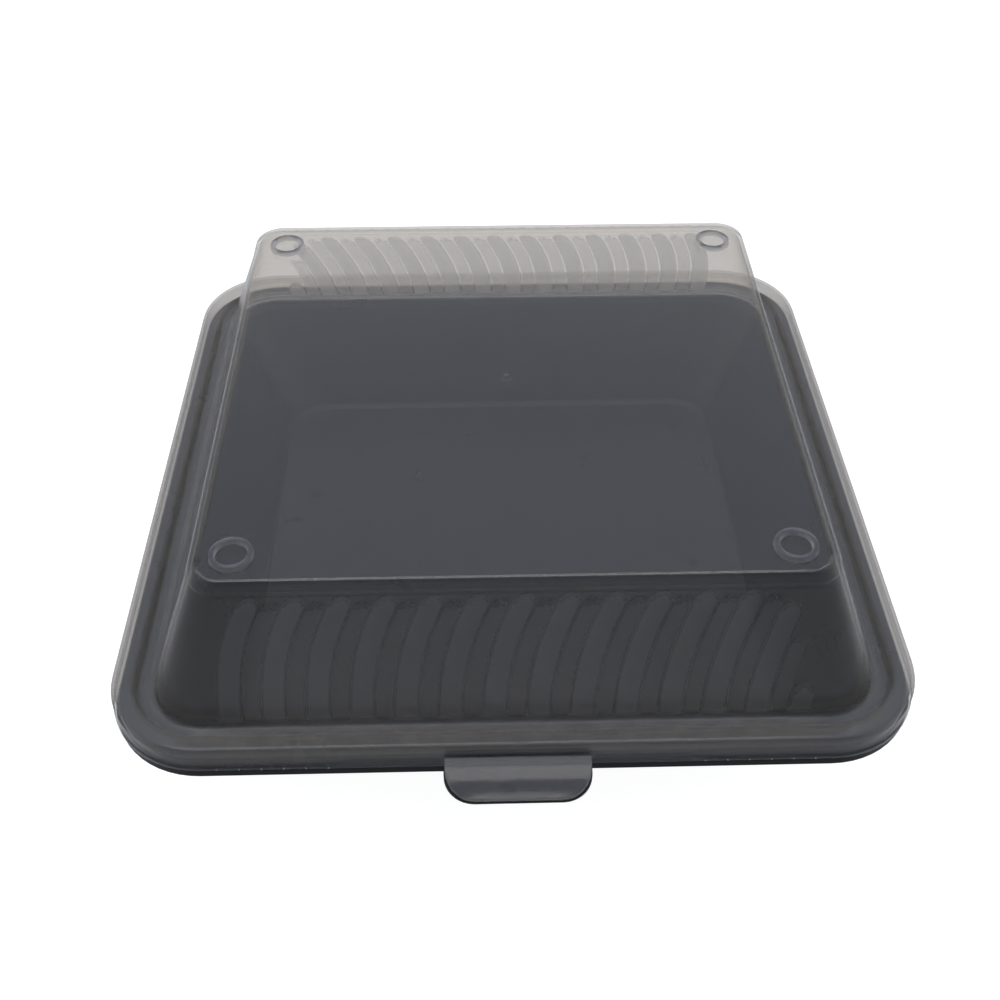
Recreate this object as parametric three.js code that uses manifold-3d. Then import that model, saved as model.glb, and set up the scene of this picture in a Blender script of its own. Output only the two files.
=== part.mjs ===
// Square lidded food container: a black tray, a translucent domed lid that presses over the
// tray's rim, and the lid's pull tab on its thin hinge line. Millimetres, +Z up. The origin is the
// centre of the tray's flat underside, and the pull tabs are at the front, towards -Y.
import * as THREE from 'three';
import { mergeVertices } from 'three/addons/utils/BufferGeometryUtils.js';
import Module from 'manifold-3d';

const wasm = await Module();
wasm.setup();

// ---- driving dimensions ----------------------------------------------------------------------
const RIM_HALF = 114.5; // half the lid's width across its rim
const RIM_CORNER = 27.5; // plan radius of the rim's corners
const RIM_TOP = 45.2; // height of the lid's flat rim above the table
const DOME_HEIGHT = 37.6; // top of the lid's stacking lip above the rim
const LID_WALL = 1.0;
const TRAY_WALL = 1.2;
const FIT_GAP = 0.4; // clearance between the lid and the tray all round

const GROOVE_DEPTH = 3.9; // the lid's groove between the rim and the dome
const FLANGE_DROP = 1.2; // the lid's rim slopes in by this much to the groove's edge
const SKIRT_BOTTOM = -8.4; // below the rim's top
const BAND_PROUD = 0.4; // how far the skirt's lower band stands out
const BAND_TOP = -6.9;
const MID_BAND_HALF = 47.7; // the band is taller across the front's middle
const MID_BAND_TOP = -4.9;
const TAB_BAND_HALF = 20.5; // and taller again where the tab is joined
const TAB_BAND_TOP = -3.0;

const PANEL_HALF = 85.2; // the lid's flat top panel, inside the lip
const PANEL_DROP = 1.7; // the panel lies this far below the lip's crest
const WALL_TOP_HALF = 89.0;
const WALL_FOOT_HALF = 103.5;
const WALL_TOP_DROP = 4.5; // below the lip's crest
const WALL_FOOT_Z = -2.9; // below the rim's top

const RING_PLACE = 76.6; // the four stacking rings' centres, each way
const RING_OUTER = 6.1;
const RING_INNER = 4.45;
const GATE_RADIUS = 1.2; // the moulding gate's nub at the centre of the panel
const GATE_HEIGHT = 0.5;

const RIB_PITCH = 12.15;
const RIB_WIDTH = 6.1;
const RIB_HEIGHT = 0.5; // ribs stand on the inner face of the front and back walls
const RIB_COUNT = 14;
const RIB_LEAN = [9.0, 10.2]; // sideways lean from foot to top, of the first and last rib
const RIB_BEND = [2.6, 1.6]; // how late up the wall the lean comes, of the first and last rib
const RIB_FIELD_FOOT = 84.4; // the field's slanted right-hand edge, at the foot
const RIB_FIELD_TOP = 77.0; // and at the top

const LIP_BOTTOM = -11.8; // the tray's outer lip, below the rim's top
const FLOOR_TOP = 1.3; // the tray's inner floor above the table
const FLOOR_HALF = 82.2;
const UNDERSIDE_HALF = 81.4;

const TAB_HALF = 20.1; // the pull tab's half width
const TAB_ROOT = 115.2; // distance from the centre to the tab's hinge line
const TAB_TIP = 125.6;
const TAB_CORNER = 8.5;
const TAB_THICK = 1.2;
const TAB_ROOT_Z = -4.7; // the tab's top face at the hinge line, below the rim's top
const TAB_TIP_Z = -8.6;
const TAB_STRAIGHT_FALL = 0.7; // share of the tab's fall that is an even slope
const TAB_STEEPEST = [0.4, 0.85]; // the rest of the fall comes between these shares of its length
const TRAY_TAB_TIP = 125.2;
const TRAY_TAB_MARGIN = 0.3; // the tray's tab shows this much past the lid's at each side
const TRAY_TAB_GAP = 0.3; // the tray's tab is a solid of its own, this far from the tray's lip

const CORNER_STEPS = 8;

// ---- helpers ---------------------------------------------------------------------------------

// The outline of a square with round corners, counter-clockwise from above.
function roundedSquare(half, radius) {
  const points = [];
  const centre = half - radius;
  const quadrants = [[1, 1], [-1, 1], [-1, -1], [1, -1]];
  quadrants.forEach(([sx, sy], quadrant) => {
    for (let step = 0; step <= CORNER_STEPS; step += 1) {
      const angle = (quadrant + step / CORNER_STEPS) * Math.PI / 2;
      points.push([sx * centre + radius * Math.cos(angle), sy * centre + radius * Math.sin(angle)]);
    }
  });
  return points;
}

// A closed body through a chain of level outlines [half, height, corner radius]. The first outline
// is capped facing up and the last facing down, so the chain runs from the top over the outside.
function shellOverLevels(levels) {
  const positions = [];
  const indices = [];
  const count = roundedSquare(1, 0.1).length;
  levels.forEach(([half, height, radius]) => {
    roundedSquare(half, radius).forEach(([x, y]) => positions.push(x, y, height));
  });
  for (let level = 0; level + 1 < levels.length; level += 1) {
    for (let i = 0; i < count; i += 1) {
      const a = level * count + i;
      const b = level * count + (i + 1) % count;
      indices.push(a, a + count, b, b, a + count, b + count);
    }
  }
  const last = (levels.length - 1) * count;
  for (let i = 1; i + 1 < count; i += 1) {
    indices.push(0, i, i + 1);
    indices.push(last, last + i + 1, last + i);
  }
  const geometry = new THREE.BufferGeometry();
  geometry.setAttribute('position', new THREE.Float32BufferAttribute(positions, 3));
  geometry.setIndex(indices);
  return geometry;
}

function toSolid(geometry) {
  const bare = geometry.clone();
  bare.deleteAttribute('normal');
  bare.deleteAttribute('uv');
  const merged = mergeVertices(bare, 1e-5);
  const vertProperties = new Float32Array(merged.attributes.position.array);
  const triVerts = new Uint32Array(merged.index.array);
  return new wasm.Manifold(new wasm.Mesh({ numProp: 3, vertProperties, triVerts }));
}

function toGeometry(solid) {
  const mesh = solid.getMesh();
  const geometry = new THREE.BufferGeometry();
  geometry.setAttribute('position', new THREE.Float32BufferAttribute(mesh.vertProperties, 3));
  geometry.setIndex(Array.from(mesh.triVerts));
  geometry.computeVertexNormals();
  return geometry;
}

// A turned body about the vertical through (x, y), from a closed profile of [radius, height].
function turned(profile, x, y, steps) {
  const points = profile.map(([radius, height]) => new THREE.Vector2(radius, height));
  const geometry = new THREE.LatheGeometry(points, steps);
  geometry.rotateX(Math.PI / 2);
  geometry.translate(x, y, 0);
  return toSolid(geometry);
}

// A body of constant section along X, from a shape drawn in (y, z).
function alongX(points, halfLength) {
  const shape = new THREE.Shape(points.map(([y, z]) => new THREE.Vector2(y, z)));
  const geometry = new THREE.ExtrudeGeometry(shape, { depth: 2 * halfLength, bevelEnabled: false });
  geometry.applyMatrix4(new THREE.Matrix4().makeBasis(
    new THREE.Vector3(0, 1, 0), new THREE.Vector3(0, 0, 1), new THREE.Vector3(1, 0, 0)));
  geometry.translate(-halfLength, 0, 0);
  return toSolid(geometry);
}

const aboveRim = (offset) => RIM_TOP + offset;
const rimRadius = (half) => RIM_CORNER - (RIM_HALF - half);
const rimLevel = (half, offset) => [half, aboveRim(offset), rimRadius(half)];

// ---- lid -------------------------------------------------------------------------------------

const CREST = DOME_HEIGHT;
const PANEL_Z = DOME_HEIGHT - PANEL_DROP;
const WALL_TOP_Z = DOME_HEIGHT - WALL_TOP_DROP;
const WALL_TOP_CORNER = 9.5;
const WALL_FOOT_CORNER = 16.5;
const FLANGE_INNER = 108.4;
const GROOVE_OUTER = 106.9;
const GROOVE_INNER = 104.3;

// The wall's half width at a height above the rim, on the outer face.
function wallHalf(offset) {
  const t = (offset - WALL_FOOT_Z) / (WALL_TOP_Z - WALL_FOOT_Z);
  return WALL_FOOT_HALF + t * (WALL_TOP_HALF - WALL_FOOT_HALF);
}

function wallCorner(offset) {
  const t = (offset - WALL_FOOT_Z) / (WALL_TOP_Z - WALL_FOOT_Z);
  return WALL_FOOT_CORNER + t * (WALL_TOP_CORNER - WALL_FOOT_CORNER);
}

function lidShell() {
  const skirtInner = RIM_HALF - LID_WALL;
  const outside = [
    [PANEL_HALF, aboveRim(PANEL_Z), 6.5],
    [85.7, aboveRim(CREST - 1.3), 7.1],
    [86.3, aboveRim(CREST - 0.3), 7.6],
    [87.0, aboveRim(CREST), 8.2],
    [87.7, aboveRim(CREST - 0.5), 8.7],
    [88.5, aboveRim(CREST - 2.0), 9.2],
    [WALL_TOP_HALF, aboveRim(WALL_TOP_Z), WALL_TOP_CORNER],
    [WALL_FOOT_HALF, aboveRim(WALL_FOOT_Z), WALL_FOOT_CORNER],
    rimLevel(GROOVE_INNER, -GROOVE_DEPTH),
    rimLevel(GROOVE_OUTER, -GROOVE_DEPTH),
    rimLevel(FLANGE_INNER, -FLANGE_DROP),
    rimLevel(RIM_HALF - 1.4, 0),
    rimLevel(RIM_HALF - 0.4, -0.4),
    rimLevel(RIM_HALF, -1.4),
    rimLevel(RIM_HALF, BAND_TOP),
    rimLevel(RIM_HALF + BAND_PROUD, BAND_TOP - 0.3),
    rimLevel(RIM_HALF + BAND_PROUD, SKIRT_BOTTOM),
  ];
  const inside = [
    rimLevel(skirtInner, SKIRT_BOTTOM),
    rimLevel(skirtInner, -1.7),
    rimLevel(skirtInner - 0.6, -LID_WALL),
    rimLevel(FLANGE_INNER + 0.8, -FLANGE_DROP - LID_WALL + 0.2),
    rimLevel(GROOVE_OUTER + 0.6, -GROOVE_DEPTH - LID_WALL),
    [102.9, aboveRim(-GROOVE_DEPTH - LID_WALL), 15.9],
    [wallHalf(-2.4) - 1.1, aboveRim(-2.4), wallCorner(-2.4) - 1.1],
    [WALL_TOP_HALF - 1.1, aboveRim(WALL_TOP_Z - 0.2), WALL_TOP_CORNER - 1.1],
    [87.2, aboveRim(CREST - 2.6), 8.0],
    [86.7, aboveRim(CREST - 1.2), 7.7],
    [85.9, aboveRim(CREST - 1.2), 7.2],
    [85.2, aboveRim(PANEL_Z - 0.9), 6.5],
    [PANEL_HALF - 0.6, aboveRim(PANEL_Z - LID_WALL), 6.0],
  ];
  return toSolid(shellOverLevels([...outside, ...inside]));
}

// A thin layer on the inner face of the dome's walls, from inside the wall to the ribs' tops.
function ribLayer() {
  const low = -1.6;
  const high = WALL_TOP_Z - 1.2;
  const grown = (depth) => [
    [wallHalf(high) - depth, aboveRim(high), wallCorner(high) - depth],
    [wallHalf(low) - depth, aboveRim(low), wallCorner(low) - depth],
  ];
  const outer = toSolid(shellOverLevels(grown(0.6)));
  const shrink = 1.1 + RIB_HEIGHT;
  const inner = [
    [wallHalf(high + 1) - shrink, aboveRim(high + 1), wallCorner(high + 1) - shrink],
    [wallHalf(low - 1) - shrink, aboveRim(low - 1), wallCorner(low - 1) - shrink],
  ];
  return outer.subtract(toSolid(shellOverLevels(inner)));
}

// One rib's outline on the front, drawn in (x, z): an upright foot and a head that leans to +X.
function ribOutline(index) {
  const steps = 6;
  const low = aboveRim(-3);
  const high = aboveRim(WALL_TOP_Z - 1.0);
  const along = index / (RIB_COUNT - 1);
  const footX = (index - (RIB_COUNT - 1) / 2) * RIB_PITCH;
  const lean = RIB_LEAN[0] + along * (RIB_LEAN[1] - RIB_LEAN[0]);
  const bend = RIB_BEND[0] + along * (RIB_BEND[1] - RIB_BEND[0]);
  const edge = (side) => {
    const points = [];
    for (let step = 0; step <= steps; step += 1) {
      const t = step / steps;
      const x = footX + lean * t ** bend + side * RIB_WIDTH / 2;
      points.push(new THREE.Vector2(x, low + t * (high - low)));
    }
    return points;
  };
  return [...edge(1), ...edge(-1).reverse()];
}

// A shape drawn in (x, z) on the front wall, made deep enough to pass right through it.
function throughFrontWall(shape) {
  const depth = 30;
  const geometry = new THREE.ExtrudeGeometry(shape, { depth, bevelEnabled: false });
  geometry.rotateX(Math.PI / 2);
  geometry.translate(0, -WALL_TOP_HALF + depth / 2, 0);
  return geometry;
}

function ribs() {
  const layer = ribLayer();
  const fieldLeft = -90;
  const field = new THREE.Shape([
    new THREE.Vector2(fieldLeft, aboveRim(-3)),
    new THREE.Vector2(RIB_FIELD_FOOT, aboveRim(-3)),
    new THREE.Vector2(RIB_FIELD_TOP, aboveRim(WALL_TOP_Z)),
    new THREE.Vector2(fieldLeft, aboveRim(WALL_TOP_Z)),
  ]);
  let all = null;
  for (const turn of [0, Math.PI]) {
    const wall = layer.intersect(toSolid(throughFrontWall(field).rotateZ(turn)));
    for (let i = 0; i < RIB_COUNT; i += 1) {
      const band = throughFrontWall(new THREE.Shape(ribOutline(i))).rotateZ(turn);
      const rib = toSolid(band).intersect(wall);
      all = all ? all.add(rib) : rib;
    }
  }
  return all;
}

function stackingRing(x, y) {
  const foot = aboveRim(PANEL_Z - 0.4);
  const top = aboveRim(CREST);
  return turned([
    [RING_INNER, foot],
    [RING_OUTER, foot],
    [RING_OUTER, top - 0.3],
    [RING_OUTER - 0.3, top],
    [RING_INNER + 0.2, top],
    [RING_INNER, top - 0.2],
    [RING_INNER, foot],
  ], x, y, 32);
}

function gateNub() {
  const foot = aboveRim(PANEL_Z - 0.4);
  const top = aboveRim(PANEL_Z + GATE_HEIGHT);
  return turned([[0, foot], [GATE_RADIUS, foot], [GATE_RADIUS * 0.8, top], [0, top]], 0, 0, 20);
}

// The skirt's lower band rises in two steps towards the tab.
function frontBand() {
  const face = -RIM_HALF - BAND_PROUD;
  const back = -RIM_HALF + 0.5;
  const step = (half, top) => {
    const slant = BAND_TOP - MID_BAND_TOP;
    const shape = new THREE.Shape([
      new THREE.Vector2(-half + slant, aboveRim(SKIRT_BOTTOM)),
      new THREE.Vector2(half - slant, aboveRim(SKIRT_BOTTOM)),
      new THREE.Vector2(half, aboveRim(top)),
      new THREE.Vector2(-half, aboveRim(top)),
    ]);
    const geometry = new THREE.ExtrudeGeometry(shape, { depth: back - face, bevelEnabled: false });
    geometry.rotateX(Math.PI / 2);
    geometry.translate(0, back, 0);
    return toSolid(geometry);
  };
  return step(MID_BAND_HALF, MID_BAND_TOP).add(step(TAB_BAND_HALF, TAB_BAND_TOP));
}

function lidSolid() {
  let lid = lidShell();
  for (const sx of [-1, 1]) {
    for (const sy of [-1, 1]) {
      lid = lid.add(stackingRing(sx * RING_PLACE, sy * RING_PLACE));
    }
  }
  return lid.add(gateNub()).add(ribs()).add(frontBand());
}

// ---- tray ------------------------------------------------------------------------------------

const TRAY_RIM_INNER = 103.0;
const TRAY_WALL_LOW = 84.4; // half width where the wall meets the floor's round edge

function trayWallHalf(offset) {
  const high = -6.3;
  const low = -41.6;
  const t = (offset - low) / (high - low);
  return TRAY_WALL_LOW + t * (TRAY_RIM_INNER - 0.3 - TRAY_WALL_LOW);
}

function trayShell() {
  const skirtInner = RIM_HALF - LID_WALL;
  const flange = -GROOVE_DEPTH - LID_WALL - FIT_GAP;
  const outer = skirtInner - FIT_GAP;
  const slant = 1.35; // the wall's thickness measured level
  const insideThenRim = [
    [FLOOR_HALF, FLOOR_TOP, 12.8],
    [83.6, FLOOR_TOP + 0.7, 14.0],
    [TRAY_WALL_LOW, aboveRim(-41.6), 14.6],
    [trayWallHalf(-6.3), aboveRim(-6.3), 15.0],
    [TRAY_RIM_INNER + 0.4, aboveRim(flange), 15.6],
    rimLevel(outer - 0.6, flange),
    rimLevel(outer, flange - 0.6),
    rimLevel(outer, SKIRT_BOTTOM - 0.5),
    rimLevel(RIM_HALF, SKIRT_BOTTOM - 0.6),
    rimLevel(RIM_HALF, LIP_BOTTOM + 0.6),
    rimLevel(RIM_HALF - 0.6, LIP_BOTTOM),
  ];
  const under = [
    rimLevel(RIM_HALF - 1.8, LIP_BOTTOM),
    rimLevel(outer - TRAY_WALL, SKIRT_BOTTOM - 0.9),
    rimLevel(outer - TRAY_WALL, flange - TRAY_WALL),
    [104.6, aboveRim(flange - TRAY_WALL), 17.2],
    [trayWallHalf(-8.0) + slant, aboveRim(-8.0), 16.2],
    [trayWallHalf(-41.6) + slant, aboveRim(-41.6), 15.8],
    [84.2, 1.2, 14.9],
    [82.8, 0.25, 13.6],
    [UNDERSIDE_HALF, 0, 12.4],
  ];
  return toSolid(shellOverLevels([...insideThenRim, ...under]));
}

// ---- pull tabs -------------------------------------------------------------------------------

// A tab's plan: a straight root and a tip with large round corners.
function tabPlan(half, root, tip, corner) {
  const shape = new THREE.Shape();
  shape.moveTo(half, -root);
  shape.lineTo(-half, -root);
  shape.lineTo(-half, -tip + corner);
  shape.absarc(-half + corner, -tip + corner, corner, Math.PI, Math.PI * 1.5, false);
  shape.absarc(half - corner, -tip + corner, corner, Math.PI * 1.5, Math.PI * 2, false);
  shape.closePath();
  const height = 40;
  const options = { depth: height, bevelEnabled: false, curveSegments: 8 };
  const geometry = new THREE.ExtrudeGeometry(shape, options);
  geometry.translate(0, 0, RIM_TOP - height / 2);
  return toSolid(geometry);
}

// The height of the lid tab's top face at a distance from the centre: an even slope with a
// steeper stretch past the middle.
function tabTop(distance) {
  const along = (distance - TAB_ROOT) / (TAB_TIP - TAB_ROOT);
  const steep = THREE.MathUtils.smoothstep(along, ...TAB_STEEPEST);
  const fall = TAB_STRAIGHT_FALL * along + (1 - TAB_STRAIGHT_FALL) * steep;
  return aboveRim(TAB_ROOT_Z + (TAB_TIP_Z - TAB_ROOT_Z) * fall);
}

function lidTab() {
  const steps = 8;
  const top = [];
  const bottom = [];
  for (let step = 0; step <= steps; step += 1) {
    const distance = TAB_ROOT + (TAB_TIP - TAB_ROOT) * step / steps;
    top.push([-distance, tabTop(distance)]);
    bottom.push([-distance, tabTop(distance) - TAB_THICK]);
  }
  const plate = alongX([...top, ...bottom.reverse()], TAB_HALF);
  return plate.intersect(tabPlan(TAB_HALF, TAB_ROOT - 1, TAB_TIP, TAB_CORNER));
}

function trayTab() {
  const half = TAB_HALF + TRAY_TAB_MARGIN;
  const root = RIM_HALF + TRAY_TAB_GAP;
  const rootZ = aboveRim(SKIRT_BOTTOM - 0.7);
  const tipZ = aboveRim(TAB_TIP_Z - TAB_THICK - FIT_GAP);
  const plate = alongX([
    [-root, rootZ],
    [-TRAY_TAB_TIP, tipZ],
    [-TRAY_TAB_TIP, tipZ - 1.4],
    [-root, rootZ - 2.0],
  ], half);
  return plate.intersect(tabPlan(half, root - 1, TRAY_TAB_TIP, TAB_CORNER));
}

// ---- assembly --------------------------------------------------------------------------------

const blackPlastic = new THREE.MeshStandardMaterial({
  color: new THREE.Color(0.016, 0.017, 0.019),
  roughness: 0.35,
  metalness: 0,
});
const milkyPlastic = new THREE.MeshStandardMaterial({
  color: new THREE.Color(0.62, 0.63, 0.62),
  roughness: 0.22,
  metalness: 0,
  transparent: true,
  opacity: 0.35,
});

function named(name, solid, material) {
  const mesh = new THREE.Mesh(toGeometry(solid), material);
  mesh.name = name;
  return mesh;
}

const container = new THREE.Group();
container.add(named('tray', trayShell(), blackPlastic));
container.add(named('tray_pull_tab', trayTab(), blackPlastic));
container.add(named('lid', lidSolid(), milkyPlastic));
container.add(named('lid_pull_tab', lidTab(), milkyPlastic));

export default container;
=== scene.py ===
import math
from collections import namedtuple

import bpy
import numpy as np
from mathutils import Matrix, Vector
from mathutils.geometry import delaunay_2d_cdt


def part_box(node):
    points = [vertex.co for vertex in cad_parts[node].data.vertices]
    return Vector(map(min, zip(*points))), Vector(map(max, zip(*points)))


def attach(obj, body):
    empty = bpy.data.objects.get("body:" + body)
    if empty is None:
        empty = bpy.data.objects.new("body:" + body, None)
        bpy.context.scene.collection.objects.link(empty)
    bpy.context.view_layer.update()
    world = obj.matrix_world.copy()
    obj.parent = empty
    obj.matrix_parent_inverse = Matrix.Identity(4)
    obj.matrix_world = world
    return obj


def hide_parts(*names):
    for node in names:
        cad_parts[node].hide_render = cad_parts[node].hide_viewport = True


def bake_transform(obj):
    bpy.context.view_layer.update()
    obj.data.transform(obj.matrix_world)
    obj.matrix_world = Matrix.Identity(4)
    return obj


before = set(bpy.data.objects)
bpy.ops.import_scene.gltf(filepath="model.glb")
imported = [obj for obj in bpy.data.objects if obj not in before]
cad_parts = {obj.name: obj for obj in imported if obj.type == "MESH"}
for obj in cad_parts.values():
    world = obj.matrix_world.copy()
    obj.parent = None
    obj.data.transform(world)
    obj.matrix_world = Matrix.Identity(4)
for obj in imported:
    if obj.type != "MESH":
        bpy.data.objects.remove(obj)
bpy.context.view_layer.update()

MM = 0.001

lid_low, lid_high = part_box("lid")
tray_tab_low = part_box("tray_pull_tab")[0]
tab_low, tab_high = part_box("lid_pull_tab")

# ---- driving dimensions, in millimetres ------------------------------------------------------
BAND_PROUD = 0.4
CREST = 37.6  # the lid's raised lip above its rim
RIM_TOP = lid_high.z / MM - CREST
RIM_HALF = lid_high.x / MM - BAND_PROUD
RIM_CORNER = 27.5
LID_WALL = 1.0
TRAY_WALL = 1.2
FIT_GAP = 0.4
SKIRT_BOTTOM = lid_low.z / MM - RIM_TOP
TABLE = -RIM_TOP  # the surface that the tray stands on, below the rim's top

PANEL_HALF = 85.2
PANEL_Z = CREST - 1.7
WALL_TOP_HALF = 89.0
WALL_TOP_Z = CREST - 4.5
WALL_TOP_CORNER = 9.5
WALL_FOOT_HALF = 103.5
WALL_FOOT_Z = -2.9
WALL_FOOT_CORNER = 16.5
GROOVE_Z = -3.9
GROOVE_INNER = 104.3
GROOVE_OUTER = 106.9
FLANGE_INNER = 108.4
FLANGE_DROP = 1.2  # the rim slopes in by this much to the groove's edge

BAND_TOP = -6.9
MID_BAND_HALF = 47.7  # the skirt's band is taller across the front's middle
MID_BAND_TOP = -4.9
MID_BAND_SLANT = 2.0
TAB_BAND_HALF = 20.5  # and taller again where the tab is joined
TAB_BAND_TOP = -3.0
TAB_BAND_SLANT = 0.4

RIB_PITCH = 12.15
RIB_WIDTH = 6.1
RIB_HEIGHT = 0.5
RIB_COUNT = 14
RIB_EDGE = 0.8  # width of the round along a rib's edge
RIB_TOP = 32.0
RIB_LEAN = (9.0, 10.2)  # sideways lean from foot to top, of the first and last rib
RIB_BEND = (2.6, 1.6)  # how late up the wall the lean comes
RIB_FIELD_FOOT = 84.4  # slanted end of the ribbed field, at the foot and at the top
RIB_FIELD_TOP = 77.0
FIELD_MARGIN = 0.8  # the mesh follows the field's slanted end this far outside it
PAD_WIDTH = 4.6  # shallow pads on the outer face, between the ribs
PAD_HEIGHT = 0.2
PAD_TOP = 31.0

RING_PLACE = 76.6
RING_OUTER = 6.1
RING_INNER = 4.45
RIB_CLOUD = 0.85  # how cloudy the thick ribs look, from 0 as the plain wall to 1 as the thickest
PAD_CLOUD = 0.5
RING_CLOUD = 4.0
RIM_CLOUD = 0.3
RIM_CLOUD_RISE = 2.0  # the rim turns cloudy over this width, from the groove's outer edge
FOOT_PAINTED_HIGHLIGHT = 2.0  # extra cloudiness along the corner at the dome's foot, a painted highlight where it catches the light
GATE_DISC = 10.6

LIP_BOTTOM = -11.8
FLOOR_HALF = 82.2
UNDERSIDE_HALF = 81.4
TRAY_WALL_LOW = 84.4  # half width where the wall meets the floor's round edge
TRAY_WALL_LOW_Z = 3.6 + TABLE
TRAY_WALL_HIGH_Z = -6.3
TRAY_RIM_INNER = 103.0

TAB_HALF = tab_high.x / MM
TAB_ROOT = -tab_high.y / MM
TAB_TIP = -tab_low.y / MM
TAB_CORNER = 8.5
TAB_THICK = 1.2
TAB_ROOT_Z = -4.7
TAB_TIP_Z = -8.6
TAB_STRAIGHT_FALL = 0.7  # share of the tab's fall that is an even slope
TAB_STEEPEST = (0.35, 1.0)  # the rest of the fall comes between these shares of its length
TAB_ROOT_THICK = 0.55  # the lid's tab is thinned along its hinge line
TRAY_TAB_HALF = TAB_HALF + 0.3
TRAY_TAB_TIP = -tray_tab_low.y / MM

CORNER_STEPS = 14
SIDE_STEPS = 8
ROUND_STEPS = 4
SPLINE_STEPS = 3
TURN_STEPS = 48  # round a ring or the gate

# ---- profiles --------------------------------------------------------------------------------

# One outline of a swept wall: half width, height above the rim, plan corner radius, and which
# face it lies on: "plain", "inner" or "outer" for the dome's walls, "foot" for the corner at their
# foot, or "band" on the skirt.
Level = namedtuple("Level", "half height radius face")


def corner(half, height, radius, cut=0.0, face="plain"):
    """A profile corner, rounded off by cutting back that length of each edge that meets there."""
    return Level(half, height, radius, face), cut


def rim_corner(half, height, cut=0.0, face="plain"):
    return corner(half, height, RIM_CORNER - (RIM_HALF - half), cut, face)


def part_way(a, b, share):
    return Level(
        a.half + (b.half - a.half) * share,
        a.height + (b.height - a.height) * share,
        a.radius + (b.radius - a.radius) * share,
        a.face,
    )


def rounded(corners):
    """The chain of levels through these corners, with each cut corner turned into a round."""
    levels = []
    for index, (here, cut) in enumerate(corners):
        if cut == 0 or index in (0, len(corners) - 1):
            levels.append(here)
            continue
        before = corners[index - 1][0]
        after = corners[index + 1][0]
        reach_in = math.hypot(before.half - here.half, before.height - here.height)
        reach_out = math.hypot(after.half - here.half, after.height - here.height)
        start = part_way(here, before, min(cut / reach_in, 0.48))
        end = part_way(here, after, min(cut / reach_out, 0.48))
        for step in range(ROUND_STEPS + 1):
            share = step / ROUND_STEPS
            levels.append(part_way(part_way(start, here, share), part_way(here, end, share), share))
    return levels


def spline(points):
    """Levels on a smooth curve through [half, height, radius] points, which it keeps."""
    knots = np.array(points, float)
    slopes = np.gradient(knots, axis=0)
    levels = []
    for index in range(len(knots) - 1):
        for step in range(SPLINE_STEPS):
            t = step / SPLINE_STEPS
            blend = np.array([
                2 * t**3 - 3 * t**2 + 1,
                t**3 - 2 * t**2 + t,
                -2 * t**3 + 3 * t**2,
                t**3 - t**2,
            ])
            mixed = blend @ np.array(
                [knots[index], slopes[index], knots[index + 1], slopes[index + 1]])
            levels.append(Level(*mixed, "plain"))
    levels.append(Level(*knots[-1], "plain"))
    return levels


def climb(height):
    """How far up the dome's wall a height is, from 0 at the foot to 1 at the top."""
    return (height - WALL_FOOT_Z) / (WALL_TOP_Z - WALL_FOOT_Z)


def wall_level(height, inset, face):
    share = climb(height)
    half = WALL_FOOT_HALF + share * (WALL_TOP_HALF - WALL_FOOT_HALF)
    radius = WALL_FOOT_CORNER + share * (WALL_TOP_CORNER - WALL_FOOT_CORNER)
    return Level(half - inset, height, radius - inset, face)


# ---- the ribbed walls ------------------------------------------------------------------------

def smooth_step(value):
    value = np.clip(value, 0.0, 1.0)
    return value * value * (3 - 2 * value)


def rib_foot(index):
    return (index - (RIB_COUNT - 1) / 2) * RIB_PITCH


def lean_at(foot, share):
    """How far to the right a rib that starts at foot has leaned at that share of the wall."""
    along = np.clip(0.5 + foot / (RIB_PITCH * (RIB_COUNT - 1)), 0, 1)
    lean = RIB_LEAN[0] + along * (RIB_LEAN[1] - RIB_LEAN[0])
    bend = RIB_BEND[0] + along * (RIB_BEND[1] - RIB_BEND[0])
    return lean * np.clip(share, 0, 1) ** bend


def field_edge(share):
    return RIB_FIELD_FOOT + np.clip(share, 0, 1) * (RIB_FIELD_TOP - RIB_FIELD_FOOT)


def finger_top(foot, width, highest):
    """Where a rib or pad ends: at the field's top, or sooner where it meets the slanted edge."""
    for height in np.arange(highest, WALL_FOOT_Z, -0.1):
        share = climb(height)
        if foot + lean_at(foot, share) + width / 2 <= field_edge(share):
            return height
    return WALL_FOOT_Z


def finger(feet, height, centre, width, edge, highest):
    """How raised, from 0 to 1, a round-topped finger is at these foot positions and height."""
    off = np.abs(feet - centre)
    across = smooth_step((width / 2 + edge / 2 - off) / edge)
    radius = width / 2
    cap = radius - np.sqrt(np.maximum(radius**2 - np.minimum(off, radius) ** 2, 0))
    top = finger_top(centre, width, highest)
    return across * smooth_step((top - cap - height) / edge + 0.5)


def rib_relief(feet, height):
    total = np.zeros(len(feet))
    for index in range(RIB_COUNT):
        total += finger(feet, height, rib_foot(index), RIB_WIDTH, RIB_EDGE, RIB_TOP)
    return total


def pad_relief(feet, height):
    total = np.zeros(len(feet))
    for index in range(RIB_COUNT - 1):
        total += finger(feet, height, rib_foot(index + 0.5), PAD_WIDTH, RIB_EDGE * 0.6, PAD_TOP)
    return total


def rib_columns():
    """Where the front wall's mesh columns stand at the foot: close together at ribs' edges."""
    edge = RIB_WIDTH / 2
    pad_edge = RIB_PITCH / 2 - PAD_WIDTH / 2
    near = [0, 1.5, edge - RIB_EDGE / 2, edge, edge + RIB_EDGE / 2, pad_edge + 0.25]
    straight = WALL_FOOT_HALF - WALL_FOOT_CORNER
    feet = {-straight, straight, -straight + 2, RIB_FIELD_FOOT + FIELD_MARGIN}
    for index in range(RIB_COUNT):
        for off in near:
            feet |= {round(rib_foot(index) + off, 4), round(rib_foot(index) - off, 4)}
        feet.add(round(rib_foot(index + 0.5), 4))
    return np.array(sorted(foot for foot in feet if abs(foot) <= straight))


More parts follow.
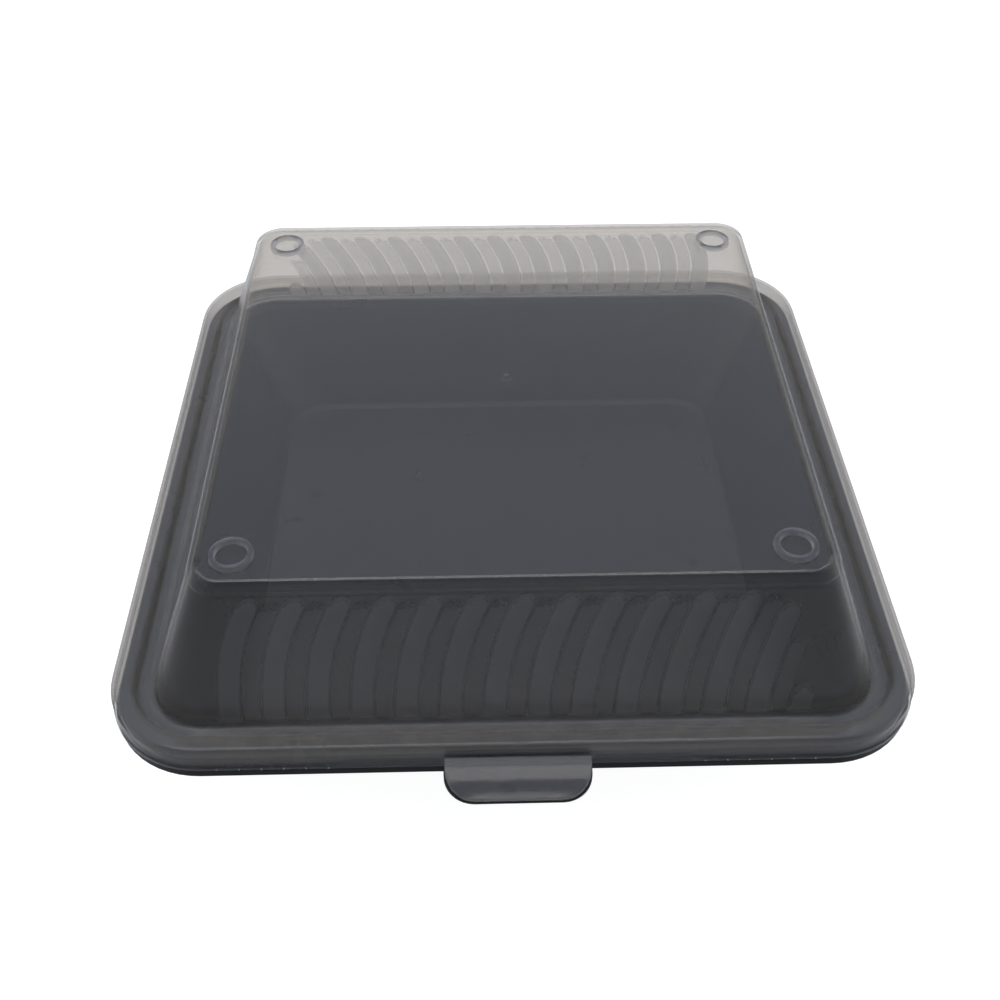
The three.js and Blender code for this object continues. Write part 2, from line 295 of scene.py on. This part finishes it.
def leaning_columns(feet, height, straight):
    """The columns' places along the wall at a height, following the ribs between the corners."""
    share = climb(height)
    places = feet + lean_at(feet, share)
    left_foot = rib_foot(0) - RIB_WIDTH / 2 - 1
    left = left_foot + lean_at(left_foot, share)
    fraction = (feet - feet[0]) / (left_foot - feet[0])
    places = np.where(feet < left_foot, -straight + fraction * (left + straight), places)
    edge = field_edge(share) + FIELD_MARGIN
    last = feet[-1] + lean_at(feet[-1], share)
    squeezed = edge + (places - edge) / (last - edge) * (straight - edge)
    return np.where(places > edge, squeezed, places)


# ---- mesh making -----------------------------------------------------------------------------

def band_rise(x):
    """How far the skirt's band stands above its general top, along the front."""
    middle = np.clip((MID_BAND_HALF + MID_BAND_SLANT - np.abs(x)) / MID_BAND_SLANT, 0, 1)
    joined = np.clip((TAB_BAND_HALF + TAB_BAND_SLANT - np.abs(x)) / TAB_BAND_SLANT, 0, 1)
    rise = (MID_BAND_TOP - BAND_TOP) * middle
    return rise + (TAB_BAND_TOP - MID_BAND_TOP) * joined


def half_outline(level, feet):
    """Half of a level's outline, counter-clockwise: the front side, a corner, the right side and
    a corner. The other half is this one turned by 180 degrees. Also gives how cloudy it is, with
    extra cloudiness along the dome's foot as a painted highlight."""
    straight = level.half - level.radius
    front_x = feet * straight / feet[-1]
    front_y = np.full(len(feet), -level.half)
    fingers = np.zeros(len(feet))
    if level.face in ("inner", "outer"):
        front_x = leaning_columns(feet, level.height, straight)
        ribs = rib_relief(feet, level.height)
        pads = pad_relief(feet, level.height)
        fingers = np.maximum(RIB_CLOUD * ribs, PAD_CLOUD * pads)
        front_y += RIB_HEIGHT * ribs if level.face == "inner" else -PAD_HEIGHT * pads
    cloud = RIM_CLOUD * float(np.clip((level.half - GROOVE_OUTER) / RIM_CLOUD_RISE, 0, 1))
    if level.face == "foot":
        # the corner at the dome's foot gets extra cloudiness: a painted highlight
        cloud = FOOT_PAINTED_HIGHLIGHT
    angles = np.linspace(0, math.pi / 2, CORNER_STEPS + 1)[1:-1]
    first_x = straight + level.radius * np.sin(angles)
    first_y = -straight - level.radius * np.cos(angles)
    side = np.linspace(-straight, straight, SIDE_STEPS + 1)
    second_x = straight + level.radius * np.cos(angles)
    second_y = straight + level.radius * np.sin(angles)
    x = np.concatenate([front_x, first_x, np.full(len(side), level.half), second_x])
    y = np.concatenate([front_y, first_y, side, second_y])
    z = np.full(len(x), level.height)
    cloudiness = np.full(len(x), cloud)
    cloudiness[: len(feet)] += fingers
    return np.stack([x, y, z, cloudiness], axis=1)


def outline(level, feet):
    front = half_outline(level, feet)
    back = front * np.array([-1, -1, 1, 1])
    if level.face == "band":
        on_front = np.arange(len(front)) < len(feet)
        front[on_front, 2] += band_rise(front[on_front, 0])
    return np.concatenate([front, back])


class MeshParts:
    """Gathers points and faces in millimetres, then makes one Blender mesh in metres."""

    def __init__(self):
        self.points = []
        self.cloudy = []
        self.faces = []

    def add(self, points, cloudy=None):
        """Adds points and gives their indices."""
        first = len(self.points)
        self.points.extend(tuple(float(c) for c in point) for point in points)
        self.cloudy.extend([0.0] * len(points) if cloudy is None else cloudy)
        return list(range(first, len(self.points)))

    def join_loops(self, upper, lower):
        """Quads between two closed loops, facing out when the chain runs down the outside."""
        count = len(upper)
        for i in range(count):
            j = (i + 1) % count
            self.faces.append((upper[i], lower[i], lower[j], upper[j]))

    def sweep(self, levels, feet):
        """A wall through all the levels. Gives its first and last loops."""
        loops = []
        for level in levels:
            rows = outline(level, feet)
            loops.append(self.add(rows[:, :3], list(rows[:, 3])))
        for upper, lower in zip(loops, loops[1:]):
            self.join_loops(upper, lower)
        return loops[0], loops[-1]

    def fill(self, outer, holes=(), inside=(), up=True):
        """A flat or gently curved skin over loop outer, open at the holes, through the points
        inside. All are indices."""
        order = list(outer)
        edges = [(i, (i + 1) % len(order)) for i in range(len(order))]
        for hole in holes:
            start = len(order)
            order.extend(hole)
            edges += [(start + i, start + (i + 1) % len(hole)) for i in range(len(hole))]
        order.extend(inside)
        flat = [Vector(self.points[i][:2]) for i in order]
        rims = [np.array([self.points[i][:2] for i in hole]) for hole in holes]
        _, _, found, came_from, _, _ = delaunay_2d_cdt(flat, edges, [], 0, 1e-6)
        for triangle in found:
            corners = [order[came_from[v][0]] for v in triangle]
            spot = np.mean([self.points[c][:2] for c in corners], axis=0)
            in_hole = any(
                np.linalg.norm(spot - rim.mean(axis=0)) < np.linalg.norm(rim[0] - rim.mean(axis=0))
                for rim in rims)
            if not in_hole:
                self.faces.append(tuple(corners if up else corners[::-1]))

    def turned(self, x, y, profile, cloudy=0.0):
        """A turned surface from the outermost circle in to the axis, cloudy where it stands above
        the panel. Gives the outermost loop."""
        cloudy_from = PANEL_Z + 0.2
        angles = np.linspace(0, 2 * math.pi, TURN_STEPS, endpoint=False)
        loops = []
        for radius, height in profile:
            loops.append(self.add(np.stack([
                x + radius * np.cos(angles),
                y + radius * np.sin(angles),
                np.full(TURN_STEPS, height),
            ], axis=1), [cloudy if height > cloudy_from else 0.0] * TURN_STEPS))
        for outer, inner in zip(loops, loops[1:]):
            self.join_loops(inner, outer)
        self.faces.append(tuple(loops[-1]))
        return loops[0]

    def finish(self, name, material):
        mesh = bpy.data.meshes.new(name)
        points = (np.array(self.points) + np.array([0, 0, RIM_TOP])) * MM
        mesh.from_pydata(points.tolist(), [], self.faces)
        mesh.update()
        cloudy = mesh.attributes.new("cloudy", "FLOAT", "POINT")
        cloudy.data.foreach_set("value", np.array(self.cloudy, np.float32))
        mesh.polygons.foreach_set("use_smooth", [True] * len(mesh.polygons))
        piece = bpy.data.objects.new(name, mesh)
        bpy.context.scene.collection.objects.link(piece)
        mesh.materials.append(material)
        evened = piece.modifiers.new("even_shading", "WEIGHTED_NORMAL")
        evened.mode = "FACE_AREA"
        return piece


# ---- materials -------------------------------------------------------------------------------

class Nodes:
    """A short way to build a material's node tree."""

    def __init__(self, name):
        self.material = bpy.data.materials.new(name)
        self.material.use_nodes = True
        self.tree = self.material.node_tree
        self.tree.nodes.clear()
        self.place = self.add("ShaderNodeTexCoord").outputs["Object"]

    def add(self, kind, settings=None, **inputs):
        """A node with these settings. An input takes a number, a colour or another's output."""
        node = self.tree.nodes.new(kind)
        for key, value in (settings or {}).items():
            setattr(node, key, value)
        for key, value in inputs.items():
            self.put(node.inputs[key.replace("_", " ")], value)
        return node

    def put(self, socket, value):
        if isinstance(value, bpy.types.NodeSocket):
            self.tree.links.new(value, socket)
        else:
            socket.default_value = value

    def maths(self, operation, first, second=0.0, third=0.0, clamp=False):
        node = self.add("ShaderNodeMath", {"operation": operation, "use_clamp": clamp})
        for socket, value in zip(node.inputs, (first, second, third)):
            self.put(socket, value)
        return node.outputs[0]

    def noise(self, scale, detail, roughness):
        noise = self.add("ShaderNodeTexNoise", Vector=self.place, Scale=scale, Detail=detail,
                         Roughness=roughness)
        return noise.outputs["Fac"]

    def ramp(self, value, low, high, out_low, out_high):
        """value from low to high, as out_low to out_high, held beyond."""
        node = self.add("ShaderNodeMapRange", Value=value)
        for name, number in zip(("From Min", "From Max", "To Min", "To Max"),
                                (low, high, out_low, out_high)):
            node.inputs[name].default_value = number
        return node.outputs[0]

    def mix_colour(self, share, first, second):
        node = self.add("ShaderNodeMix", {"data_type": "RGBA"})
        self.put(node.inputs[0], share)
        self.put(node.inputs[6], first)
        self.put(node.inputs[7], second)
        return node.outputs[2]

    def mix_shader(self, share, first, second):
        node = self.add("ShaderNodeMixShader")
        self.put(node.inputs[0], share)
        self.put(node.inputs[1], first)
        self.put(node.inputs[2], second)
        return node.outputs[0]

    def scratches(self, scale, turn, amount):
        """Thin, sparse scratches in one direction, from 0 to amount."""
        place = self.add("ShaderNodeMapping", Vector=self.place, Rotation=(0, 0, turn),
                         Scale=(1, 0.035, 1))
        lines = self.add("ShaderNodeTexNoise", Vector=place.outputs[0], Scale=scale, Detail=1.0)
        return self.ramp(lines.outputs["Fac"], 0.72, 0.76, 0.0, amount)

    def dust(self, scale, size, share):
        """Small specks, at that share of the cells of a pattern of this scale."""
        cells = self.add("ShaderNodeTexVoronoi", Vector=self.place, Scale=scale)
        speck = self.ramp(cells.outputs["Distance"], size * 0.6, size, 1.0, 0.0)
        chosen = self.maths("LESS_THAN", cells.outputs["Color"], share)
        return self.maths("MULTIPLY", speck, chosen)

    def end(self, shader):
        output = self.add("ShaderNodeOutputMaterial")
        self.tree.links.new(shader, output.inputs["Surface"])
        return self.material


def milky_plastic(name, haze, thick_haze):
    """Natural polypropylene: clear with a haze that mostly scatters light onwards, blurred where
    it is thick, and a soft gloss that grows towards grazing angles. haze is what each thin face
    scatters, and thick_haze what it scatters where the mesh is marked as fully cloudy."""
    n = Nodes(name)
    cloud = n.ramp(n.noise(22, 4, 0.6), 0.3, 0.7, 0.85, 1.15)
    mottle = n.ramp(n.noise(260, 3, 0.6), 0.3, 0.7, 0.93, 1.07)
    scratch = n.maths("ADD", n.scratches(420, 0.5, 0.05), n.scratches(380, -0.9, 0.04))
    dust = n.dust(95, 0.035, 0.05)
    # the mesh's cloudiness; along the dome's foot it is a painted highlight
    cloudy = n.add("ShaderNodeAttribute", {"attribute_name": "cloudy"}).outputs["Fac"]

    ripple = n.noise(28, 2, 0.5)
    bump = n.add("ShaderNodeBump", Strength=0.1, Distance=0.0004, Height=ripple)
    facing = n.add("ShaderNodeLayerWeight", Blend=0.5, Normal=bump.outputs[0]).outputs["Facing"]

    own_haze = n.maths("MULTIPLY_ADD", cloudy, thick_haze - haze, haze)
    own_haze = n.maths("MULTIPLY", own_haze, n.maths("MULTIPLY", cloud, mottle))
    aslant = n.maths("POWER", facing, 3.0)
    own_haze = n.maths("MULTIPLY_ADD", aslant, 0.1, own_haze)
    own_haze = n.maths("ADD", own_haze, dust, clamp=True)

    passed = n.mix_colour(cloudy, (0.94, 0.925, 0.90, 1), (0.92, 0.905, 0.88, 1))
    clear = n.add("ShaderNodeBsdfTransparent", Color=passed).outputs[0]
    blurred = n.add("ShaderNodeBsdfRefraction", Color=(1.0, 0.99, 0.98, 1), Roughness=0.45,
                    IOR=1.2).outputs[0]
    clear = n.mix_shader(n.maths("MULTIPLY", cloudy, 0.5, clamp=True), clear, blurred)
    forward = n.add("ShaderNodeBsdfTranslucent", Color=(0.80, 0.79, 0.78, 1)).outputs[0]
    tint = n.mix_colour(cloud, (0.50, 0.58, 0.76, 1), (0.56, 0.64, 0.80, 1))
    back = n.add("ShaderNodeBsdfDiffuse", Color=tint, Roughness=0.5).outputs[0]
    scattered = n.mix_shader(0.30, forward, back)
    body = n.mix_shader(own_haze, clear, scattered)

    shine = n.maths("MULTIPLY_ADD", n.maths("POWER", facing, 5.0), 0.93, 0.036)
    roughness = n.maths("ADD", n.ramp(n.noise(60, 4, 0.6), 0.3, 0.7, 0.08, 0.14), scratch)
    gloss = n.add("ShaderNodeBsdfGlossy", Color=(1, 1, 1, 1), Roughness=roughness,
                  Normal=bump.outputs[0]).outputs[0]
    return n.end(n.mix_shader(shine, body, gloss))


def black_plastic():
    """Black polypropylene with light scuffs, glossy on the rim. Below the rim it reflects far less, a
    painted shade over the tray's inside and its lip.
    """
    n = Nodes("tray_black_polypropylene")
    blotch = n.noise(35, 4, 0.6)
    scuff = n.maths("ADD", n.scratches(330, 0.3, 0.12), n.scratches(300, -1.1, 0.1))
    colour = n.mix_colour(blotch, (0.0060, 0.0063, 0.0070, 1), (0.0095, 0.0100, 0.0110, 1))
    colour = n.mix_colour(scuff, colour, (0.045, 0.045, 0.047, 1))
    roughness = n.maths("ADD", n.ramp(blotch, 0.3, 0.7, 0.26, 0.36), scuff)
    wave = n.noise(30, 2, 0.5)
    bump = n.add("ShaderNodeBump", Strength=0.12, Distance=0.0004, Height=wave)
    surface = n.add("ShaderNodeBsdfPrincipled", Roughness=roughness, Normal=bump.outputs[0])
    n.put(surface.inputs["Base Color"], colour)
    surface.inputs["IOR"].default_value = 1.49
    height = n.add("ShaderNodeSeparateXYZ", Vector=n.place).outputs["Z"]
    rim = (RIM_TOP + GROOVE_Z) * MM
    # below the rim the reflection is weakened: painted shade over the tray's inside and its lip
    reflection_with_painted_shade = n.ramp(height, rim - 0.005, rim - 0.003, 0.18, 0.5)
    n.put(surface.inputs["Specular IOR Level"], reflection_with_painted_shade)
    return n.end(surface.outputs[0])


def floor_paper():
    """Pale paper with a glow that depends on the kind of ray. It is brightest to the camera
    looking straight at it, dimmer to the camera through the lid, and dimmest to reflections and
    scattered light, so what lights the box is dimmer than the white that is seen."""
    base_glow = 0.14
    camera_glow = 0.8  # more for the camera's own rays
    through_lid = 0.34  # the share of that which is left through the lid
    n = Nodes("floor_paper")
    tone = n.mix_colour(n.noise(6, 3, 0.5), (0.34, 0.34, 0.34, 1), (0.36, 0.36, 0.36, 1))
    path = n.add("ShaderNodeLightPath").outputs
    straight = n.maths("LESS_THAN", path["Transparent Depth"], 0.5)
    share = n.maths("MULTIPLY_ADD", straight, 1 - through_lid, through_lid)
    seen = n.maths("MULTIPLY", path["Is Camera Ray"], share)
    surface = n.add("ShaderNodeBsdfPrincipled", Roughness=0.9)
    n.put(surface.inputs["Base Color"], tone)
    surface.inputs["Emission Color"].default_value = (1, 1, 1, 1)
    n.put(surface.inputs["Emission Strength"], n.maths("MULTIPLY_ADD", seen, camera_glow, base_glow))
    return n.end(surface.outputs[0])


# ---- lid -------------------------------------------------------------------------------------

def lid_outside():
    lip = spline([
        [PANEL_HALF - 0.4, PANEL_Z, 6.2],
        [PANEL_HALF, PANEL_Z + 0.02, 6.5],
        [85.7, CREST - 1.3, 7.1],
        [86.3, CREST - 0.3, 7.6],
        [87.0, CREST, 8.2],
        [87.7, CREST - 0.5, 8.7],
        [88.4, CREST - 2.0, 9.1],
    ])
    wall_top = rounded([
        corner(88.4, CREST - 2.0, 9.1),
        corner(88.85, WALL_TOP_Z + 0.9, 9.4, 0.5),
        corner(88.75, WALL_TOP_Z + 0.35, 9.4, 0.2),
        corner(*wall_level(WALL_TOP_Z - 0.1, 0, "plain")[:3]),
    ])
    heights = [*np.linspace(WALL_TOP_Z - 0.3, 25, 14), *np.linspace(23.5, WALL_FOOT_Z + 1.2, 14)]
    wall = [wall_level(height, 0, "outer") for height in heights]
    foot_to_skirt = rounded([
        corner(*wall_level(WALL_FOOT_Z + 0.7, 0, "plain")[:3]),
        corner(WALL_FOOT_HALF, WALL_FOOT_Z, WALL_FOOT_CORNER, 0.5),
        rim_corner(GROOVE_INNER, GROOVE_Z, 0.35),
        rim_corner(GROOVE_OUTER, GROOVE_Z, 0.6),
        rim_corner(FLANGE_INNER, -FLANGE_DROP, 0.8),
        rim_corner(RIM_HALF - 1.0, 0.0, 0.9),
        rim_corner(RIM_HALF, -1.2, 0.8),
        rim_corner(RIM_HALF, BAND_TOP, 0.12, "band"),
        rim_corner(RIM_HALF + BAND_PROUD, BAND_TOP - 0.25, 0.12, "band"),
        rim_corner(RIM_HALF + BAND_PROUD, SKIRT_BOTTOM, 0.15),
    ])
    return lip + wall_top + wall + foot_to_skirt


def lid_inside():
    inner = RIM_HALF - LID_WALL
    slant = 1.1  # the wall's thickness measured level
    rim = rounded([
        rim_corner(RIM_HALF + BAND_PROUD - 0.2, SKIRT_BOTTOM),
        rim_corner(inner, SKIRT_BOTTOM, 0.2),
        rim_corner(inner, -LID_WALL, 0.7),
        rim_corner(FLANGE_INNER + 0.8, 0.2 - FLANGE_DROP - LID_WALL, 0.7),
        rim_corner(GROOVE_OUTER + 0.6, GROOVE_Z - LID_WALL, 0.6),
        corner(102.9, GROOVE_Z - LID_WALL, 15.9, 0.5, "foot"),
        corner(*wall_level(-2.4, slant, "plain")[:3]),
    ])
    heights = [*np.linspace(-1.4, 25, 16), *np.linspace(25.7, WALL_TOP_Z - 0.4, 13)]
    wall = [wall_level(height, slant, "inner") for height in heights]
    lip = spline([
        [*wall_level(WALL_TOP_Z - 0.1, slant, "plain")[:3]],
        [87.3, CREST - 2.8, 8.1],
        [86.7, CREST - 1.3, 7.7],
        [85.9, CREST - 1.1, 7.2],
        [85.2, PANEL_Z - 0.8, 6.5],
        [PANEL_HALF - 0.6, PANEL_Z - LID_WALL, 6.0],
        [PANEL_HALF - 1.6, PANEL_Z - LID_WALL - 0.02, 5.5],
    ])
    return rim + wall + lip


def ring_profile():
    top = CREST - 0.02
    return [
        (RING_OUTER + 0.35, PANEL_Z),
        (RING_OUTER + 0.12, PANEL_Z + 0.08),
        (RING_OUTER, PANEL_Z + 0.35),
        (RING_OUTER - 0.05, top - 0.45),
        (RING_OUTER - 0.16, top - 0.15),
        (RING_OUTER - 0.42, top),
        (RING_INNER + 0.42, top),
        (RING_INNER + 0.16, top - 0.15),
        (RING_INNER + 0.05, top - 0.45),
        (RING_INNER, PANEL_Z + 0.35),
        (RING_INNER - 0.12, PANEL_Z + 0.08),
        (RING_INNER - 0.35, PANEL_Z),
    ]


def gate_profile():
    """The moulding gate: a broad faint disc, a shallow dimple in it, and the gate's nub."""
    disc = PANEL_Z + 0.07
    return [
        (GATE_DISC, PANEL_Z),
        (GATE_DISC - 0.15, PANEL_Z + 0.03),
        (GATE_DISC - 0.35, disc),
        (2.5, disc),
        (2.2, disc - 0.08),
        (1.8, disc - 0.25),
        (1.2, disc - 0.3),
        (0.95, disc - 0.2),
        (0.85, PANEL_Z + 0.25),
        (0.65, PANEL_Z + 0.42),
        (0.3, PANEL_Z + 0.48),
    ]


def make_lid(material):
    parts = MeshParts()
    feet = rib_columns()
    top, ceiling = parts.sweep(lid_outside() + lid_inside(), feet)
    places = [(sx * RING_PLACE, sy * RING_PLACE) for sx in (-1, 1) for sy in (-1, 1)]
    holes = [parts.turned(x, y, ring_profile(), RING_CLOUD) for x, y in places]
    holes.append(parts.turned(0, 0, gate_profile()))
    parts.fill(top, holes)
    parts.fill(ceiling, up=False)
    return parts.finish("lid_moulding", material)


# ---- tray ------------------------------------------------------------------------------------

def tray_wall_half(height):
    """The half width of the tray's inner face at a height."""
    share = (height - TRAY_WALL_LOW_Z) / (TRAY_WALL_HIGH_Z - TRAY_WALL_LOW_Z)
    return TRAY_WALL_LOW + share * (TRAY_RIM_INNER - 0.3 - TRAY_WALL_LOW)


def tray_levels():
    flange = GROOVE_Z - LID_WALL - FIT_GAP
    outer = RIM_HALF - LID_WALL - FIT_GAP
    low = TRAY_WALL_LOW_Z
    slant = 1.35  # the wall's thickness measured level
    return rounded([
        corner(FLOOR_HALF - 2, 1.3 + TABLE, 11.5),
        corner(FLOOR_HALF - 0.6, 1.3 + TABLE, 12.4, 0.6),
        corner(83.9, 2.2 + TABLE, 14.0, 1.0),
        corner(TRAY_WALL_LOW, low, 14.6, 1.2),
        corner(tray_wall_half(-6.5), -6.5, 15.0),
        corner(TRAY_RIM_INNER, flange, 15.4, 0.6),
        rim_corner(outer, flange, 0.7),
        rim_corner(outer, SKIRT_BOTTOM - 0.6, 0.2),
        rim_corner(RIM_HALF, SKIRT_BOTTOM - 0.6, 0.35),
        rim_corner(RIM_HALF, LIP_BOTTOM, 0.5),
        rim_corner(RIM_HALF - 1.8, LIP_BOTTOM, 0.4),
        rim_corner(outer - TRAY_WALL, SKIRT_BOTTOM - 0.9, 0.4),
        rim_corner(outer - TRAY_WALL, flange - TRAY_WALL, 0.5),
        corner(104.3, flange - TRAY_WALL, 17.0, 0.6),
        corner(tray_wall_half(-8.4) + slant, -8.4, 16.2),
        corner(tray_wall_half(low) + slant, low, 15.8, 1.2),
        corner(85.0, 1.4 + TABLE, 15.2, 0.9),
        corner(83.6, 0.35 + TABLE, 14.2, 0.8),
        corner(UNDERSIDE_HALF, TABLE, 12.4, 0.9),
        corner(UNDERSIDE_HALF - 3, TABLE, 11.0),
    ])


def make_tray(material):
    parts = MeshParts()
    straight = WALL_FOOT_HALF - WALL_FOOT_CORNER
    feet = np.linspace(-straight, straight, 25)
    floor, underside = parts.sweep(tray_levels(), feet)
    parts.fill(floor)
    parts.fill(underside, up=False)
    return parts.finish("tray_moulding", material)


# ---- pull tabs -------------------------------------------------------------------------------

def tab_outline(half, root, tip, radius, inset):
    """A tab's plan, counter-clockwise: a straight root and a tip with large round corners."""
    half -= inset
    tip -= inset
    radius -= inset
    turns = np.linspace(0, math.pi / 2, 13)
    left = [(-half + radius - radius * math.cos(a), -tip + radius - radius * math.sin(a))
            for a in turns]
    right = [(half - radius + radius * math.sin(a), -tip + radius - radius * math.cos(a))
             for a in turns]
    across = [(x, -tip) for x in np.linspace(-half + radius, half - radius, 15)[1:-1]]
    rows = np.linspace(-root, -tip + radius, 7)
    left_side = [(-half, y) for y in rows[:-1]]
    right_side = [(half, y) for y in rows[:-1][::-1]]
    back = [(x, -root) for x in np.linspace(half, -half, 21)[1:-1]]
    return left_side + left + across + right + right_side + back


def plate(parts, half, root, tip, radius, top, thickness, edge):
    """A closed plate of that plan, with its top face at the height top(distance) and its edges
    rounded by edge. Distances are from the box's middle towards the front."""
    spacing = 1.2  # between the points inside the plan

    def raised(plan, drop):
        return [(x, y, top(-y) - drop(-y)) for x, y in plan]

    edges = [
        (edge, lambda distance: 0.0),
        (edge * 0.3, lambda distance: edge * 0.3),
        (0.0, lambda distance: edge),
        (0.0, lambda distance: thickness(distance) - edge),
        (edge * 0.3, lambda distance: thickness(distance) - edge * 0.3),
        (edge, thickness),
    ]
    loops = [parts.add(raised(tab_outline(half, root, tip, radius, inset), drop))
             for inset, drop in edges]
    for upper, lower in zip(loops, loops[1:]):
        parts.join_loops(upper, lower)
    margin = edge + spacing * 0.5
    inside = []
    for y in np.arange(root + margin, tip - margin, spacing):
        reach = half - margin
        if y > tip - radius:
            reach = half - radius + math.sqrt(max(radius**2 - (y - tip + radius) ** 2, 0)) - margin
        steps = max(2, int(reach / spacing))
        inside += [(x, -y) for x in np.linspace(-reach, reach, steps)]
    parts.fill(loops[0], inside=parts.add(raised(inside, edges[0][1])))
    parts.fill(loops[-1], inside=parts.add(raised(inside, edges[-1][1])), up=False)


def tab_top(distance):
    """Height of the lid tab's top face: an even slope with a steeper stretch past the middle."""
    along = (distance - TAB_ROOT) / (TAB_TIP - TAB_ROOT)
    start, end = TAB_STEEPEST
    steep = float(smooth_step((along - start) / (end - start)))
    fall = TAB_STRAIGHT_FALL * along + (1 - TAB_STRAIGHT_FALL) * steep
    return TAB_ROOT_Z + (TAB_TIP_Z - TAB_ROOT_Z) * fall


def make_lid_tab(material):
    """The lid's tab, from its thin root in the skirt's band to the tip."""
    hinge_reach = 0.45  # the root goes this far into the band, so that the tab is joined to it
    parts = MeshParts()

    def thickness(distance):
        thickened = float(smooth_step((distance - TAB_ROOT) / 1.2))
        return TAB_ROOT_THICK + (TAB_THICK - TAB_ROOT_THICK) * thickened

    plate(parts, TAB_HALF, TAB_ROOT - hinge_reach, TAB_TIP, TAB_CORNER, tab_top, thickness, 0.22)
    return parts.finish("lid_tab_moulding", material)


def make_tray_tab(material):
    """The tray's tab, from inside the tray's lip to the tip."""
    parts = MeshParts()
    root = RIM_HALF - 0.5
    root_z = SKIRT_BOTTOM - 0.7
    tip_z = TAB_TIP_Z - TAB_THICK - FIT_GAP

    def top(distance):
        return root_z + (tip_z - root_z) * (distance - root) / (TRAY_TAB_TIP - root)

    def thickness(distance):
        return 2.0 - 0.6 * (distance - root) / (TRAY_TAB_TIP - root)

    plate(parts, TRAY_TAB_HALF, root, TRAY_TAB_TIP, TAB_CORNER, top, thickness, 0.25)
    return parts.finish("tray_tab_moulding", material)


# ---- stage -----------------------------------------------------------------------------------

def make_camera():
    """A level camera a little left of the middle, in front of the box and well above it."""
    data = bpy.data.cameras.new("camera")
    data.lens = 44.05
    data.sensor_width = 36
    camera = bpy.data.objects.new("camera", data)
    bpy.context.scene.collection.objects.link(camera)
    right = Vector((0.99968, -0.02523, 0.00207))
    up = Vector((0.01600, 0.69298, 0.72077))
    back = right.cross(up)
    turn = Matrix((right, up, back)).transposed().to_4x4()
    camera.matrix_world = Matrix.Translation((-0.010317, -0.305927, 0.321233)) @ turn
    bpy.context.scene.camera = camera


def make_floor():
    mesh = bpy.data.meshes.new("floor")
    size = 4.0
    below = -0.0002
    mesh.from_pydata([(-size, -size, below), (size, -size, below), (size, size, below),
                      (-size, size, below)], [], [(0, 1, 2, 3)])
    mesh.materials.append(floor_paper())
    floor = bpy.data.objects.new("floor", mesh)
    bpy.context.scene.collection.objects.link(floor)


def make_light():
    world = bpy.data.worlds.new("studio")
    bpy.context.scene.world = world
    world.use_nodes = True
    tree = world.node_tree
    tree.nodes.clear()
    place = tree.nodes.new("ShaderNodeTexCoord")
    split = tree.nodes.new("ShaderNodeSeparateXYZ")
    tree.links.new(place.outputs["Generated"], split.inputs[0])
    towards_back = tree.nodes.new("ShaderNodeMapRange")  # 0 straight in front of the box, 1 behind it
    towards_back.inputs["From Min"].default_value = -1.0
    tree.links.new(split.outputs["Y"], towards_back.inputs["Value"])
    by_height = [
        (0.0, (1.0, 0.99, 0.97)),
        (0.35, (1.0, 0.99, 0.98)),
        (0.6, (0.80, 0.85, 0.98)),
        (0.85, (0.72, 0.77, 0.92)),
    ]
    by_side = [(0.0, (0.17, 0.2, 0.25)), (0.55, (1.0, 1.0, 1.0))]  # dim behind the camera
    tones = []
    for value, stops in ((split.outputs["Z"], by_height), (towards_back.outputs[0], by_side)):
        ramp = tree.nodes.new("ShaderNodeValToRGB")
        tree.links.new(value, ramp.inputs[0])
        ramp.color_ramp.elements[0].position = stops[0][0]
        ramp.color_ramp.elements[1].position = stops[-1][0]
        for position, _ in stops[1:-1]:
            ramp.color_ramp.elements.new(position)
        for element, (_, colour) in zip(ramp.color_ramp.elements, stops):
            element.color = (*colour, 1)
        tones.append(ramp.outputs[0])
    both = tree.nodes.new("ShaderNodeVectorMath")
    both.operation = "MULTIPLY"
    for socket, tone in zip(both.inputs, tones):
        tree.links.new(tone, socket)
    background = tree.nodes.new("ShaderNodeBackground")
    background.inputs["Strength"].default_value = 1.0
    tree.links.new(both.outputs[0], background.inputs["Color"])
    output = tree.nodes.new("ShaderNodeOutputWorld")
    tree.links.new(background.outputs[0], output.inputs[0])

    softbox = bpy.data.lights.new("softbox", "AREA")
    softbox.shape = "SQUARE"
    softbox.size = 1.05
    softbox.energy = 4.5
    softbox.color = (1.0, 0.97, 0.93)
    lamp = bpy.data.objects.new("softbox", softbox)
    lamp.location = (-0.1, 0.05, 1.3)
    bpy.context.scene.collection.objects.link(lamp)

    scene = bpy.context.scene
    scene.view_settings.view_transform = "Standard"
    scene.cycles.transparent_max_bounces = 32
    scene.cycles.max_bounces = 10


# ---- assembly --------------------------------------------------------------------------------

make_camera()
make_floor()
make_light()

black = black_plastic()
lid_plastic = milky_plastic("lid_milky_polypropylene", 0.018, 0.05)
tab_plastic = milky_plastic("tab_milky_polypropylene", 0.04, 0.08)

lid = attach(make_lid(lid_plastic), "lid")
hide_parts("lid")

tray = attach(make_tray(black), "tray")
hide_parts("tray")

tray_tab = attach(make_tray_tab(black), "tray")
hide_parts("tray_pull_tab")

lid_tab = make_lid_tab(tab_plastic)
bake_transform(lid_tab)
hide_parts("lid_pull_tab")
